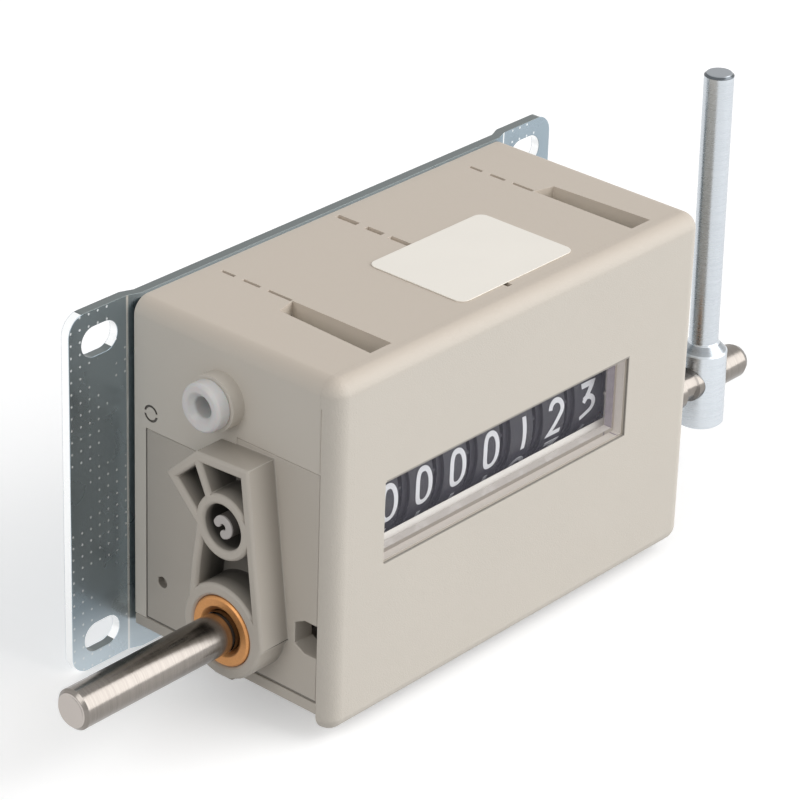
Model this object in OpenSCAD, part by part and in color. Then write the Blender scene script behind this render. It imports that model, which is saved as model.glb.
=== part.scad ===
// Mechanical stroke counter with seven digit drums, a side lever and a flanged mounting plate.
// X runs along the drive shaft, -Y is the front with the window, +Z is up.
// The origin is the centre of the mounting plate's back face, between its four slots.

/* [Body] */
// Width of the moulded body
body_w = 78; // [72:1:96]
// Depth of the moulded body, from its front to the plate
body_d = 37.5; // [36:0.5:46]
// Height of the moulded body
body_h = 54; // [50:1:64]
// Height of the body's middle above the plate's middle
body_rise = 0.6; // [0:0.1:1.5]
// Wall of the hood
wall = 2; // [1.6:0.1:2.6]
// Rounding of the hood's outer edges
edge_r = 2.6; // [1.6:0.1:3.2]
// Height of the front lip below the underside of the base
lip_h = 2.8; // [1:0.1:4]
// Thickness of the base's floor
floor_t = 1.7; // [1.2:0.1:2.6]
// Thickness of the base's back wall
back_t = 2.2; // [1.6:0.1:3]

/* [Mounting plate] */
// Width of the sheet over both flanges
plate_w = 101; // [98:1:124]
// Height of the sheet
plate_h = 56; // [52:1:66]
// Thickness of the sheet
plate_t = 1.5; // [1:0.1:2.5]
// Rounding of the sheet's corners
plate_corner_r = 3; // [1:0.5:5]
// Step back from the sheet's middle to its flanges
jog = 0.8; // [0.6:0.1:1.6]
// Width of the bend between the middle and a flange
jog_run = 2; // [1.5:0.1:3]
// Distance between the slots, side to side
slot_pitch_x = 89.5; // [88:0.5:112]
// Distance between the slots, top to bottom
slot_pitch_z = 46.4; // [36:0.1:52]
// Length of a slot, end to end
slot_l = 6.8; // [5.2:0.1:7.4]
// Width of a slot
slot_w = 4.6; // [3:0.1:4.8]

/* [Window and top] */
// Distance of the window's left edge from the middle of the first drum
window_left = 5.4; // [4:0.1:5.8]
// Distance of the window's right edge from the middle of the last drum
window_right = 3.9; // [3.8:0.1:4.4]
// Lower edge of the window, from the front's lower edge
window_z = 23.5; // [20:0.1:26]
// Height of the window
window_h = 12.5; // [9:0.1:14]
// Depth of the lens's face behind the front
lens_set = 0.5; // [0.3:0.1:0.8]
// Wall of the clear lens
lens_t = 1; // [0.8:0.1:1.4]
// Rise of the sill from the window's lower edge to the drums
sill_rise = 1.45; // [0.8:0.05:2]
// Depth of the wedge openings in the top
wedge_depth = 3.6; // [2.8:0.1:5]
// Length of the sticker on the top
label_l = 24.2; // [16:0.1:30]
// Width of the sticker on the top
label_w = 17.5; // [10:0.1:22]

/* [Shafts] */
// Diameter of the drive shaft
shaft_d = 6; // [5:0.1:7]
// Length of the drive shaft
shaft_l = 145; // [136:1:170]
// Diameter of the shaft's seat in the lever
seat_d = 5.5; // [4.4:0.1:5.8]
// Diameter of the shaft's neck beside the lever
neck_d = 4.3; // [3.6:0.1:4.3]
// Distance of both axes from the front
axis_depth = 15.7; // [15.2:0.1:17]
// Height of the drive shaft above the front's lower edge
shaft_up = 12.8; // [12.2:0.1:15]
// Height of the drum axle above the drive shaft
drum_up = 16.2; // [15.9:0.1:18]
// Diameter of the drum axle
axle_d = 3; // [2:0.1:4]
// Diameter of the pinion axle
pin_axle_d = 2; // [1.6:0.1:2.6]

/* [Lever] */
// Distance of the lever from the shaft's right end
lever_inset = 9.2; // [8:0.1:12]
// Reach of the lever above the drive shaft
lever_reach = 50.9; // [30:0.1:90]
// Diameter of the lever's rod
lever_d = 4.6; // [3:0.1:6]
// Diameter of the lever's hub
hub_d = 7.6; // [7:0.1:9]
// Reach of the hub above the drive shaft
hub_up = 6.4; // [5.4:0.1:8]
// Reach of the hub below the drive shaft
hub_down = 7.5; // [6:0.1:14]
// Lean of the lever to the back, at rest
lever_lean = 1; // [0:0.1:8]

/* [Counting train] */
// Number of digit drums
drum_n = 7; // [5:1:7]
// Distance from drum to drum
drum_pitch = 7.15; // [6.6:0.05:7.2]
// Radius of the printed band of a drum
band_r = 11.4; // [10.2:0.1:12]
// Middle of the last drum, from the body's right side
last_drum = 19.6; // [19.4:0.1:20.4]
// Extra width of the last drum's band, behind the window's edge
end_collar = 0.6; // [0.4:0.05:0.7]
// Width of the carry ring on a drum's left side
lock_w = 0.9; // [0.6:0.1:1.2]
// Width of the toothed ring on a drum's right side
ring_w = 1.1; // [0.8:0.1:1.4]
// Teeth of a drum's ring
ring_teeth = 20; // [20:20:20]
// Teeth of a transfer pinion
pinion_teeth = 8; // [8:1:8]
// Direction of the pinion axle from the drum axle, above the back
pinion_angle = 40; // [36:1:60]
// Teeth of a full circle of the drive sectors
sector_teeth = 18; // [16:2:22]
// Swing of the drive shaft
swing = 45; // [36:1:50]

/* [Side bracket] */
// Reach of the bracket out of the body's left side
bracket_out = 5.2; // [3:0.1:9]
// Wall of the bracket
bracket_t = 1.5; // [1:0.1:1.8]
// Radius of the boss round the shaft bush
boss_r = 7.1; // [6.4:0.1:7.8]
// Radius of the hole round the axle's end
eye_r = 3.4; // [3:0.1:3.9]
// Outer diameter of the shaft bushes
bush_d = 10.5; // [9:0.1:11]
// Reach of the white bush out of the side
side_bush_out = 4.5; // [3:0.1:6]
// Distance of the white bush from the front
side_bush_back = 20.7; // [19:0.1:22]
// Height of the white bush above the drum axle
side_bush_up = 15.9; // [15.4:0.1:16.6]
// Reach of the round boss behind the white bush
side_boss_out = 2.2; // [1:0.1:2.6]
// Diameter of the white bush
side_bush_d = 7.2; // [6:0.1:9]
// Hole of the white bush
side_bush_hole = 3.1; // [2:0.1:4]

/* [Clearances] */
// Radial gap of parts that sit tight on a shaft or in a hole
fit_gap = 0.03; // [0.01:0.01:0.05]
// Gap round parts that are fitted flush
seat_gap = 0.1; // [0.05:0.05:0.2]
// Radial gap of a running bearing
run_gap = 0.05; // [0.02:0.01:0.09]
// Gap between parts that move past each other
move_gap = 0.25; // [0.2:0.05:0.4]

/* [Hidden] */
$fn = 64;
eps = 0.01;
over = 1;

// Planes of the body
back_y = -(jog + plate_t);
front_y = back_y - body_d;
left_x = -body_w / 2;
right_x = body_w / 2;
low_z = body_rise - body_h / 2;
top_z = low_z + body_h;
base_z = low_z + lip_h;
floor_z = base_z + floor_t;

// Axes of the movement, as places in Y and Z
axis_y = front_y + axis_depth;
shaft_z = low_z + shaft_up;
drum_z = shaft_z + drum_up;

// Toothed rings: the pinion's module follows from the size of a drum's ring
ring_tip_r = band_r - 0.6;
carry_add = 0.8;
carry_ded = 1.05;
carry_angle = 28;
carry_m = ring_tip_r / (ring_teeth / 2 + carry_add);
carry_backlash = 0.3;
pinion_arm = carry_m * (ring_teeth + pinion_teeth) / 2;
pinion_y = axis_y + pinion_arm * cos(pinion_angle);
pinion_z = drum_z + pinion_arm * sin(pinion_angle);
sector_m = drum_up / sector_teeth;
sector_add = 0.95;
sector_ded = 1.2;
sector_press = 25;
sector_backlash = 0.12;
sector_spare = 18;
sector_tip_r = drum_up / 2 + sector_add * sector_m;

// Stations along the shaft
inner_t = 1.6;
lever_x = shaft_l / 2 - lever_inset;
drum_w = drum_pitch - move_gap;
train_right = right_x - last_drum + drum_w / 2;
train_left = train_right - (drum_n - 1) * drum_pitch - drum_w;
plate_in = body_w / 2 - wall - inner_t;
ratchet_x = train_right + end_collar;
ratchet_hub = 0.35;
ratchet_hub_r = 4.4;
ratchet_t = 2;
rocker_x = ratchet_x + ratchet_hub + ratchet_t + 0.4;
rocker_t = 2.8;
spring_x = rocker_x + rocker_t + 0.6;
clip_t = 0.6;
clip_x = plate_in - clip_t - seat_gap;

// Window, with the light frame between the lens and the drums
window_x1 = train_left + drum_w / 2 - window_left;
window_x2 = train_right - drum_w / 2 + window_right;
window_w = window_x2 - window_x1;
window_low = low_z + window_z;
mask_y = front_y + wall + lens_t;
mask_t = axis_depth - band_r - move_gap - wall - lens_t;

// Ratchet and pawl
ratchet_teeth = 10;
ratchet_r = 8.5;
ratchet_depth = 1.6;
pawl_arm = 12;
pawl_rest = 95;
pawl_tip = 62;
pawl_lift = 0.12;
pawl_pin_r = 0.8;
pawl_eye_r = 1.6;
pawl_t = 1.8;

// Stops of the drive sector
sector_hub_r = 5;
lug_angle = 190;
lug_half = 1.1;
stop_r = 1.2;
stop_arm = 7;
stop_turn = asin((lug_half + stop_r + 0.2) / stop_arm);

// Colours of the finishes
shell = [0.82, 0.79, 0.73];
shell_grey = [0.72, 0.70, 0.67];
zinc = [0.78, 0.83, 0.86];
steel = [0.74, 0.71, 0.67];
bronze = [0.80, 0.52, 0.28];
drum_black = [0.16, 0.16, 0.17];
nylon = [0.95, 0.95, 0.93];
mech_grey = [0.60, 0.62, 0.64];

// Extrudes a profile drawn in Y and Z along +X
module along_x(x, len) {
    translate([x, 0, 0]) rotate([90, 0, 90]) linear_extrude(len) children();
}

// Extrudes a profile drawn in X and Z from y towards the front
module to_front(y, len) {
    translate([0, y, 0]) rotate([90, 0, 0]) linear_extrude(len) children();
}

// Round bar along X between two stations
module bar_x(x1, x2, y, z, r) {
    translate([x1, y, z]) rotate([0, 90, 0]) cylinder(h = x2 - x1, r = r);
}

// Turned piece along X: the profile is drawn as radius and distance
module turned_x(x, y, z) {
    translate([x, y, z]) rotate([0, 90, 0]) rotate_extrude() children();
}

// Rectangle with rounded corners, from its lower left corner
module round_rect(w, h, r) {
    hull() for (x = [r, w - r], y = [r, h - r]) translate([x, y]) circle(r = r);
}

function polar(r, a) = [r * cos(a), r * sin(a)];
function involute(a) = tan(a) * 180 / PI - a;

// Outline of an involute gear. Half the angle of a tooth at radius r comes from
// the tooth's thickness on the pitch circle and the involute's own turn.
function tooth_half(r, rp, rb, press, half) =
    half + involute(press) - (r > rb ? involute(acos(rb / r)) : 0);
function gear_outline(teeth, m, press, add, ded, backlash) =
    let (rp = m * teeth / 2, rb = rp * cos(press), rt = rp + add * m, rr = rp - ded * m,
        r0 = max(rb, rr), half = 90 / teeth - backlash / rp * 90 / PI,
        rs = concat([rr], [for (i = [0:4]) r0 + (rt - r0) * i / 4 + (i == 0 ? eps : 0)]))
    [for (t = [0:teeth - 1]) let (c = 360 * t / teeth) each concat(
        [for (r = rs) polar(r, c - tooth_half(r, rp, rb, press, half))],
        [for (i = [len(rs) - 1:-1:0]) polar(rs[i], c + tooth_half(rs[i], rp, rb, press, half))])];

// Wedge of a circle between two angles
module wedge(r, a1, a2) {
    step = (a2 - a1) / 8;
    polygon(concat([[0, 0]], [for (i = [0:8]) polar(r, a1 + i * step)]));
}

// Outline of a side opening of the hood, and of the panel that fills it
panel_low_up = 6;
panel_high_up = 11;
module panel_outline(gap) {
    y1 = front_y + edge_r + seat_gap + gap;
    y2 = back_y - back_t - gap;
    ym = axis_y + 2.3;
    z1 = floor_z + seat_gap + gap;
    z2 = drum_z + panel_low_up - gap;
    z3 = drum_z + panel_high_up - gap;
    polygon([[y1, z1], [y2, z1], [y2, z2], [ym, z2], [ym, z3], [y1, z3]]);
}

// Jogged sheet with rounded corners and four slots
module mounting_plate() {
    bend_x = body_w / 2 + 0.6;
    color(zinc) difference() {
        intersection() {
            translate([0, 0, -plate_h / 2]) linear_extrude(plate_h) plate_section(bend_x);
            to_front(over, jog + plate_t + 2 * over)
                translate([-plate_w / 2, -plate_h / 2]) round_rect(plate_w, plate_h, plate_corner_r);
        }
        for (sx = [-1, 1], sz = [-1, 1])
            to_front(over, plate_t + 2 * over) translate([sx * slot_pitch_x / 2, sz * slot_pitch_z / 2]) slot();
        for (p = screw_places) translate([p[0], 0, p[1]]) screw_form();
    }
}

// Section of the sheet, seen from above
module plate_section(bend_x) {
    in_x = bend_x - jog_run;
    w = plate_w / 2;
    polygon([[-w, 0], [-bend_x, 0], [-in_x, -jog], [in_x, -jog], [bend_x, 0], [w, 0],
        [w, -plate_t], [bend_x, -plate_t], [in_x, -jog - plate_t], [-in_x, -jog - plate_t],
        [-bend_x, -plate_t], [-w, -plate_t]]);
}

module slot() {
    run = (slot_l - slot_w) / 2;
    for (s = [-1, 1]) translate([s * run, 0]) circle(d = slot_w);
    square([2 * run, slot_w], center = true);
}

// Countersunk screws that hold the sheet to the base
screw_r = 1.5;
screw_l = 6;
screw_share_x = 0.2;
screw_share_z = 0.36;
screw_places = [for (sx = [-1, 1], sz = [-1, 1]) [sx * body_w * screw_share_x, sz * plate_h * screw_share_z]];
module screw_form() {
    translate([0, -jog, 0]) rotate([90, 0, 0]) {
        cylinder(h = 1.2, r1 = screw_r + 1.2, r2 = screw_r);
        cylinder(h = screw_l, r = screw_r);
    }
}

module plate_screws() {
    color(zinc) for (p = screw_places) translate([p[0], 0, p[1]]) difference() {
        screw_form();
        for (a = [0, 90]) translate([0, -jog, 0]) rotate([0, a, 0])
            cube([2.4, 1.4, 0.6], center = true);
    }
}

// Floor and back wall in one moulding, with screw bosses and the seat of the detent
detent_seat_h = 4;
detent_y = back_y - back_t - 6.6;
module base_frame() {
    inner_w = body_w - 2 * wall - 2 * seat_gap;
    color(shell_grey) difference() {
        union() {
            translate([left_x, front_y + edge_r + seat_gap, base_z])
                cube([body_w, body_d - edge_r - seat_gap, floor_t]);
            translate([-inner_w / 2, back_y - back_t, floor_z - eps])
                cube([inner_w, back_t, top_z - wall - seat_gap - floor_z + eps]);
            for (p = screw_places) translate([p[0], back_y, p[1]])
                rotate([90, 0, 0]) cylinder(h = screw_l - plate_t + 1, r = screw_r + 1.8);
            translate([ratchet_x + ratchet_hub - 1, detent_y, floor_z - eps])
                cube([ratchet_t + 2, 6.6 + eps, detent_seat_h + eps]);
        }
        for (p = screw_places) translate([p[0], 0, p[1]]) screw_form();
        detent_bore();
    }
}

// One moulding: front, top and both sides, open at the back and below
module housing_hood() {
    side_low = floor_z + seat_gap;
    color(shell) difference() {
        union() {
            hood_shell(side_low);
            side_bush_boss();
            for (s = [-1, 1]) wedge_pocket(s, 1.1);
        }
        for (s = [-1, 1]) wedge_pocket(s, 0);
        along_x(left_x - over, wall + 2 * over) panel_outline(0);
        along_x(right_x - wall - over, wall + 2 * over) panel_outline(0);
        to_front(front_y + wall + over, wall + 2 * over)
            translate([window_x1, window_low]) square([window_w, window_h]);
        bar_x(left_x - side_bush_out, left_x + wall + over, side_bush_y, side_bush_z, side_bush_d / 2 - 1);
        for (x = [left_x - over, right_x - seam_d]) seam(x);
        top_dashes();
        ring_mark();
    }
}

module hood_shell(side_low) {
    r = edge_r;
    difference() {
        hull() for (x = [left_x + r, right_x - r], y = [front_y + r, back_y + 2 * r])
            for (z = [low_z + r, top_z - r]) translate([x, y, z]) sphere(r = r, $fn = 32);
        translate([left_x - over, back_y, low_z - over]) cube([body_w + 2 * over, 4 * r, body_h + 2 * over]);
        translate([left_x + wall, front_y + wall, low_z - over])
            cube([body_w - 2 * wall, body_d + over, body_h - wall + over]);
        translate([left_x - over, front_y + r + seat_gap, low_z - over])
            cube([body_w + 2 * over, body_d + over, side_low - low_z + over]);
    }
}

// Fine groove that carries the panel's front edge on, up to the top's rounding
seam_d = 0.12;
module seam(x) {
    z1 = drum_z + panel_high_up + 0.3;
    translate([x, front_y + edge_r + seat_gap, z1]) cube([seam_d + over, 0.15, top_z - edge_r - 1.6 - z1]);
}

// Round boss round the white bush
side_bush_y = front_y + side_bush_back;
side_bush_z = drum_z + side_bush_up;
module side_bush_boss() {
    bar_x(left_x - side_boss_out, left_x + wall, side_bush_y, side_bush_z, side_bush_d / 2 + 0.5);
}

// Wedge openings and slits in the top, mirror images of each other
row_inner = [14.7, 66];
module wedge_pocket(s, grow) {
    x0 = left_x + (s < 0 ? row_inner[0] : row_inner[1]);
    front = front_y + 3.8;
    back = front_y + 21;
    depth = grow > 0 ? wedge_depth + 0.9 : wedge_depth;
    tall = grow > 0 ? depth - edge_r / 2 : depth + over;
    translate([0, 0, top_z - depth + (grow > 0 ? -eps : 0)]) linear_extrude(tall) polygon([
        [x0 - s * grow, front - grow], [x0 + s * (4.2 + grow), front - grow],
        [x0 + s * (3.4 + grow), back + grow], [x0 - s * grow, back + 0.8 + grow]]);
}

// Fine slits in the top: [place from the left, width, start from the front, length]
dashes = [
    [14.7, 0.55, 22.0, 4.4], [14.7, 0.55, 27.9, 3.2], [14.7, 0.55, 32.7, 2.5],
    [66.0, 0.55, 22.1, 3.9], [66.0, 0.55, 27.4, 2.9], [66.0, 0.55, 31.8, 2.4],
    [39.4, 0.95, 4.0, 16.2], [39.4, 0.95, 22.1, 4.1], [39.4, 0.95, 27.5, 3.2], [39.4, 0.95, 32.3, 4.0]];
dash_depth = 0.9;
module top_dashes() {
    for (d = dashes) translate([left_x + d[0] - d[1] / 2, front_y + d[2], top_z - dash_depth])
        cube([d[1], d[3], dash_depth + over]);
}

// Small moulded ring with a gap, at the back of the left side
module ring_mark() {
    translate([left_x, front_y + 34.3, drum_z + 8.5]) rotate([0, 90, 0]) difference() {
        translate([0, 0, -over]) cylinder(h = over + 0.3, r = 1.3);
        translate([0, 0, -2 * over]) cylinder(h = 4 * over, r = 0.95);
        translate([0, 0, 0]) cube([0.5, 4, 4], center = true);
    }
}

// Panel that fills the hood's side opening, with a flat flange behind it
module side_panel(side) {
    x_out = side < 0 ? left_x : right_x - wall;
    x_in = side < 0 ? left_x + wall : right_x - wall - inner_t;
    along_x(side < 0 ? x_out : x_out - eps, wall + eps) panel_outline(seat_gap);
    along_x(x_in, inner_t) flange_outline();
}

module flange_outline() {
    y1 = mask_y + mask_t + seat_gap;
    y2 = back_y - back_t - seat_gap;
    z1 = floor_z + seat_gap;
    z2 = drum_z + panel_high_up + 1.2;
    polygon([[y1, z1], [y2, z1], [y2, z2], [y1, z2]]);
}

// Latch opening beside the front corner, with two bevelled corners
module latch_opening() {
    y1 = front_y + edge_r + seat_gap;
    z1 = low_z + 11.6;
    z2 = low_z + 16.7;
    polygon([[y1, z1], [y1 + 2.3, z1], [y1 + 4.1, z1 + 0.9], [y1 + 4.1, z2 - 0.9], [y1 + 2.3, z2], [y1, z2]]);
}

// Outline of the bracket, hung on the two axes that it carries
bracket_head = 10.3;
bracket_outline = [
    [axis_y - 4.6, drum_z + bracket_head], [axis_y + 5, drum_z + 9.8], [axis_y + 10.7, drum_z + 4.6],
    [axis_y + 4.9, drum_z - 1.2], [axis_y + 5.8, drum_z - 7.2], [axis_y + boss_r - 0.5, shaft_z + 0.2],
    [axis_y, shaft_z - 2], [axis_y - boss_r + 1.1, shaft_z - 2.8], [axis_y - boss_r - 0.6, shaft_z - 0.1]];
function inset(p, t) = [for (i = [0:len(p) - 1])
    let (a = p[(i + len(p) - 1) % len(p)], b = p[i], c = p[(i + 1) % len(p)],
        d = (b - a) / norm(b - a), e = (c - b) / norm(c - b), m = [d[1], -d[0]], n = [e[1], -e[0]])
    b + t * (m + n) / (1 + m * n)];

module bracket_profile() {
    difference() {
        union() {
            difference() {
                polygon(bracket_outline);
                polygon(inset(bracket_outline, bracket_t));
            }
            translate([axis_y, drum_z]) circle(r = eye_r + bracket_t);
            translate([axis_y, shaft_z]) circle(r = boss_r);
            polygon([[axis_y + 5.8, drum_z + 8.9], [axis_y + 4.4, drum_z + 9.1],
                [axis_y + 2.0, drum_z + 4.0], [axis_y + 3.2, drum_z + 3.4]]);
        }
        translate([axis_y, shaft_z]) circle(r = bush_d / 2 + fit_gap);
    }
}

// Foot below the boss, and the depth of the pit round the axle's end
foot_out = 1.8;
pit_depth = 2.6;
module left_side_plate() {
    color(shell_grey) difference() {
        union() {
            side_panel(-1);
            along_x(left_x - bracket_out, bracket_out + eps) bracket_profile();
            translate([left_x - foot_out, axis_y + 1.2, base_z])
                cube([foot_out - seat_gap, 3.4, shaft_z - boss_r + 2 - base_z]);
            axle_boss(-plate_in - eps, train_left - move_gap);
            bar_x(-plate_in - eps, -plate_in + 2.6, pinion_y, pinion_z, pin_axle_d / 2 + 1);
        }
        bar_x(left_x - over, -plate_in + over, axis_y, shaft_z, bush_d / 2 + fit_gap);
        bar_x(left_x - bracket_out - over, left_x + pit_depth, axis_y, drum_z, eye_r);
        bar_x(left_x - over, train_left, axis_y, drum_z, axle_d / 2);
        bar_x(left_x + wall, train_left, pinion_y, pinion_z, pin_axle_d / 2);
        along_x(left_x - over, wall + inner_t + 2 * over) latch_opening();
        bar_x(left_x - over, left_x + 1.2, front_y + 32.1, low_z + 11.6, 0.85);
    }
}

// Round boss that carries an end of the drum axle
module axle_boss(x1, x2) {
    bar_x(x1, x2, axis_y, drum_z, axle_d / 2 + 2.5);
}

module right_side_plate() {
    color(shell_grey) difference() {
        union() {
            side_panel(1);
            bar_x(right_x - eps, right_x + 3, axis_y, shaft_z, boss_r);
            axle_boss(rocker_x + rocker_t + move_gap, plate_in + eps);
            bar_x(plate_in - 2.6, plate_in + eps, pinion_y, pinion_z, pin_axle_d / 2 + 1);
            for (a = stop_angles) stop_post(a);
        }
        bar_x(plate_in - over, right_x + 3 + over, axis_y, shaft_z, bush_d / 2 + fit_gap);
        bar_x(rocker_x, right_x - wall, axis_y, drum_z, axle_d / 2);
        bar_x(rocker_x, right_x - wall, pinion_y, pinion_z, pin_axle_d / 2);
        along_x(plate_in - over, wall + inner_t + 2 * over) latch_opening();
    }
}

// Posts that stop the drive sector at both ends of its swing
stop_angles = [lug_angle - stop_turn, lug_angle + swing + stop_turn];
module stop_post(a) {
    p = polar(stop_arm, a);
    bar_x(rocker_x + 0.2, plate_in + eps, axis_y + p[0], shaft_z + p[1], stop_r);
}

// Clear tray: a face in the window and a rim behind the front wall
module window_lens() {
    x = window_x1;
    z = window_low;
    rim = 1.5;
    g = seat_gap;
    color([0.85, 0.9, 0.92, 0.35]) difference() {
        union() {
            to_front(front_y + wall + eps, wall - lens_set + eps)
                translate([x + g, z + g]) square([window_w - 2 * g, window_h - 2 * g]);
            to_front(front_y + wall + lens_t, lens_t)
                translate([x - rim, z - rim]) square([window_w + 2 * rim, window_h + 2 * rim]);
        }
        to_front(front_y + wall + lens_t + over, wall + over - lens_set)
            translate([x + lens_t, z + lens_t]) square([window_w - 2 * lens_t, window_h - 2 * lens_t]);
    }
}

// Light frame between the lens and the drums: below, its sill rises to the drums,
// and on the right a small pointer stands at the reading line
module drum_mask() {
    outer = body_w - 2 * wall - 2 * seat_gap;
    tip = 0.35;
    color(shell) {
        difference() {
            to_front(mask_y + mask_t, mask_t)
                translate([-outer / 2, window_low - 4]) square([outer, window_h + 8]);
            to_front(mask_y + mask_t + over, mask_t + 2 * over)
                translate([window_x1, window_low]) square([window_w, window_h]);
        }
        along_x(window_x1 - eps, window_w + 2 * eps) polygon([
            [mask_y, window_low - eps], [mask_y, window_low + eps],
            [mask_y + mask_t, window_low + sill_rise], [mask_y + mask_t, window_low - eps]]);
        along_x(window_x2 - tip, tip + eps) polygon([[mask_y, drum_z - 1],
            [mask_y, drum_z + 1], [mask_y + mask_t, drum_z + 0.15], [mask_y + mask_t, drum_z - 0.15]]);
    }
}

// Sticker on the top
label_t = 0.15;
module label_sticker() {
    color([0.94, 0.93, 0.88]) translate([left_x + 30.3, front_y + 4.8, top_z])
        linear_extrude(label_t) round_rect(label_l, label_w, 1.5);
}

// White bush with a countersunk hole
module side_bush() {
    r = side_bush_d / 2;
    h = side_bush_hole / 2;
    out = side_bush_out;
    color(nylon) turned_x(left_x - out, side_bush_y, side_bush_z)
        polygon([[h, 0.8], [h + 0.8, 0], [r - 0.4, 0], [r, 0.4], [r, out - side_boss_out],
            [r - 1, out - side_boss_out], [r - 1, out + wall + 0.5], [h, out + wall + 0.5]]);
}

// Bronze bushes of the drive shaft, bevelled at the mouth
module shaft_bush(len) {
    r = bush_d / 2;
    b = shaft_d / 2 + run_gap;
    polygon([[b, 0.75], [b + 0.75, 0], [r - 0.3, 0], [r, 0.3], [r, len], [b, len]]);
}

module shaft_bush_left() {
    color(bronze) turned_x(left_x - bracket_out - 0.15, axis_y, shaft_z)
        shaft_bush(bracket_out + 0.15 + wall + inner_t);
}

module shaft_bush_right() {
    color(bronze) mirror([1, 0, 0]) turned_x(left_x - 3.15, axis_y, shaft_z)
        shaft_bush(3.15 + wall + inner_t);
}

module drum_axle() {
    color(steel) bar_x(left_x, plate_in + inner_t - 0.3, axis_y, drum_z, axle_d / 2);
}

// Hook-shaped clip on the axle's left end, inside the bracket's eye
module axle_end_clip() {
    mid_r = 1.1;
    thick = 1.25;
    ends = [20, 262];
    color(shell) along_x(left_x - bracket_out + 0.2, bracket_out - 0.2) translate([axis_y, drum_z]) {
        intersection() {
            difference() {
                circle(r = mid_r + thick / 2);
                circle(r = mid_r - thick / 2);
            }
            wedge(4, ends[0], ends[1]);
        }
        for (a = ends) translate(polar(mid_r, a)) circle(d = thick + 0.06);
    }
}

module pinion_axle() {
    color(steel) bar_x(-plate_in - inner_t + 0.3, plate_in + inner_t - 0.3, pinion_y, pinion_z, pin_axle_d / 2);
}

// Leaf spring whose nose stands at the ratchet wheel, screwed to the base
leaf_t = 0.4;
leaf_w = 1.8;
module strip(points, t) {
    for (i = [0:len(points) - 2]) {
        d = points[i + 1] - points[i];
        translate(points[i]) rotate(atan2(d[1], d[0])) translate([0, -t / 2]) square([norm(d), t]);
    }
    for (i = [1:len(points) - 2]) translate(points[i]) circle(d = t, $fn = 24);
}

module detent_spring() {
    z0 = floor_z + detent_seat_h + leaf_t / 2;
    n = polar(ratchet_r + 0.2 + leaf_t / 2, -12);
    nose = [axis_y + n[0], drum_z + n[1]];
    color(steel) difference() {
        along_x(ratchet_x + ratchet_hub + 0.1, leaf_w)
            strip([[detent_y + 0.4, z0], [detent_y + 5, z0],
                nose + [1.5, -2.2], nose, nose + [1.3, 1.8]], leaf_t);
        detent_bore();
    }
}

detent_screw_r = 0.7;
module detent_bore() {
    translate([ratchet_x + ratchet_hub + 0.1 + leaf_w / 2, detent_y + 2.2, floor_z + 0.6])
        cylinder(h = detent_seat_h + 2, r = detent_screw_r);
}

module detent_screw() {
    z0 = floor_z + detent_seat_h + leaf_t;
    color(zinc) translate([ratchet_x + ratchet_hub + 0.1 + leaf_w / 2, detent_y + 2.2, 0]) difference() {
        union() {
            translate([0, 0, floor_z + 0.6]) cylinder(h = z0 - floor_z - 0.6 + eps, r = detent_screw_r);
            translate([0, 0, z0]) cylinder(h = 1, r = 1.4);
        }
        translate([0, 0, z0 + 1]) cube([4, 0.4, 0.8], center = true);
    }
}

// Torsion spring round the shaft: a round wire swept along a helix with straight legs
coil_r = shaft_d / 2 + 0.8;
wire_r = 0.3;
coil_leg = 7;
coil_len = clip_x - spring_x - 1.6;
leg_turn = acos(coil_r / (stop_arm + 0.5));
coil_start = lug_angle - stop_turn - leg_turn - asin((stop_r + wire_r + 0.04) / stop_arm) + 1.5;
coil_end = lug_angle + leg_turn + asin((lug_half + wire_r + 0.04) / (stop_arm + 0.5));
coil_sweep = 4 * 360 + coil_start + 360 - coil_end;
function coil_frame(t, leg) = let (a = coil_start - coil_sweep * t, d = [cos(a), sin(a)], e = [sin(a), -cos(a)])
    [spring_x + 0.7 + coil_len * (1 - t), coil_r * d + leg * e, d];
function coil_ring(f, sides) = [for (k = [0:sides - 1])
    let (s = 360 * k / sides, q = f[1] + wire_r * cos(s) * f[2])
    [f[0] + wire_r * sin(s), axis_y + q[0], shaft_z + q[1]]];
module return_spring() {
    turns = 88;
    sides = 6;
    frames = concat([coil_frame(0, -coil_leg)], [for (i = [0:turns]) coil_frame(i / turns, 0)],
        [coil_frame(1, coil_leg)]);
    last = len(frames) - 1;
    points = [for (f = frames) each coil_ring(f, sides)];
    skin = [for (i = [0:last - 1], k = [0:sides - 1]) let (k2 = (k + 1) % sides)
        [i * sides + k, (i + 1) * sides + k, (i + 1) * sides + k2, i * sides + k2]];
    caps = [[for (k = [0:sides - 1]) k], [for (k = [sides - 1:-1:0]) last * sides + k]];
    color(steel) polyhedron(points, concat(skin, caps));
}

// Drive shaft: bevelled left end, fine groove before the bush, neck and seat for the
// lever, rounded right end
module drive_shaft() {
    r = shaft_d / 2;
    n = neck_d / 2;
    s = seat_d / 2;
    groove = left_x - bracket_out - 0.25;
    step = lever_x - hub_d / 2 - 3.4;
    seat = lever_x - hub_d / 2 - 0.1;
    round_r = 1.4;
    color(steel) difference() {
        translate([0, axis_y, shaft_z]) rotate([0, 90, 0]) rotate_extrude() {
            polygon([[0, -shaft_l / 2], [r - 0.7, -shaft_l / 2], [r, -shaft_l / 2 + 0.7],
                [r, groove - 0.5], [r - 0.3, groove - 0.5], [r - 0.3, groove], [r, groove], [r, step],
                [n, step + 0.4], [n, seat - 0.4], [s, seat], [s, shaft_l / 2 - round_r],
                [s - 0.4, shaft_l / 2 - 0.45], [s - round_r, shaft_l / 2], [0, shaft_l / 2]]);
        }
        sector_pin_bar();
    }
}

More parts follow.
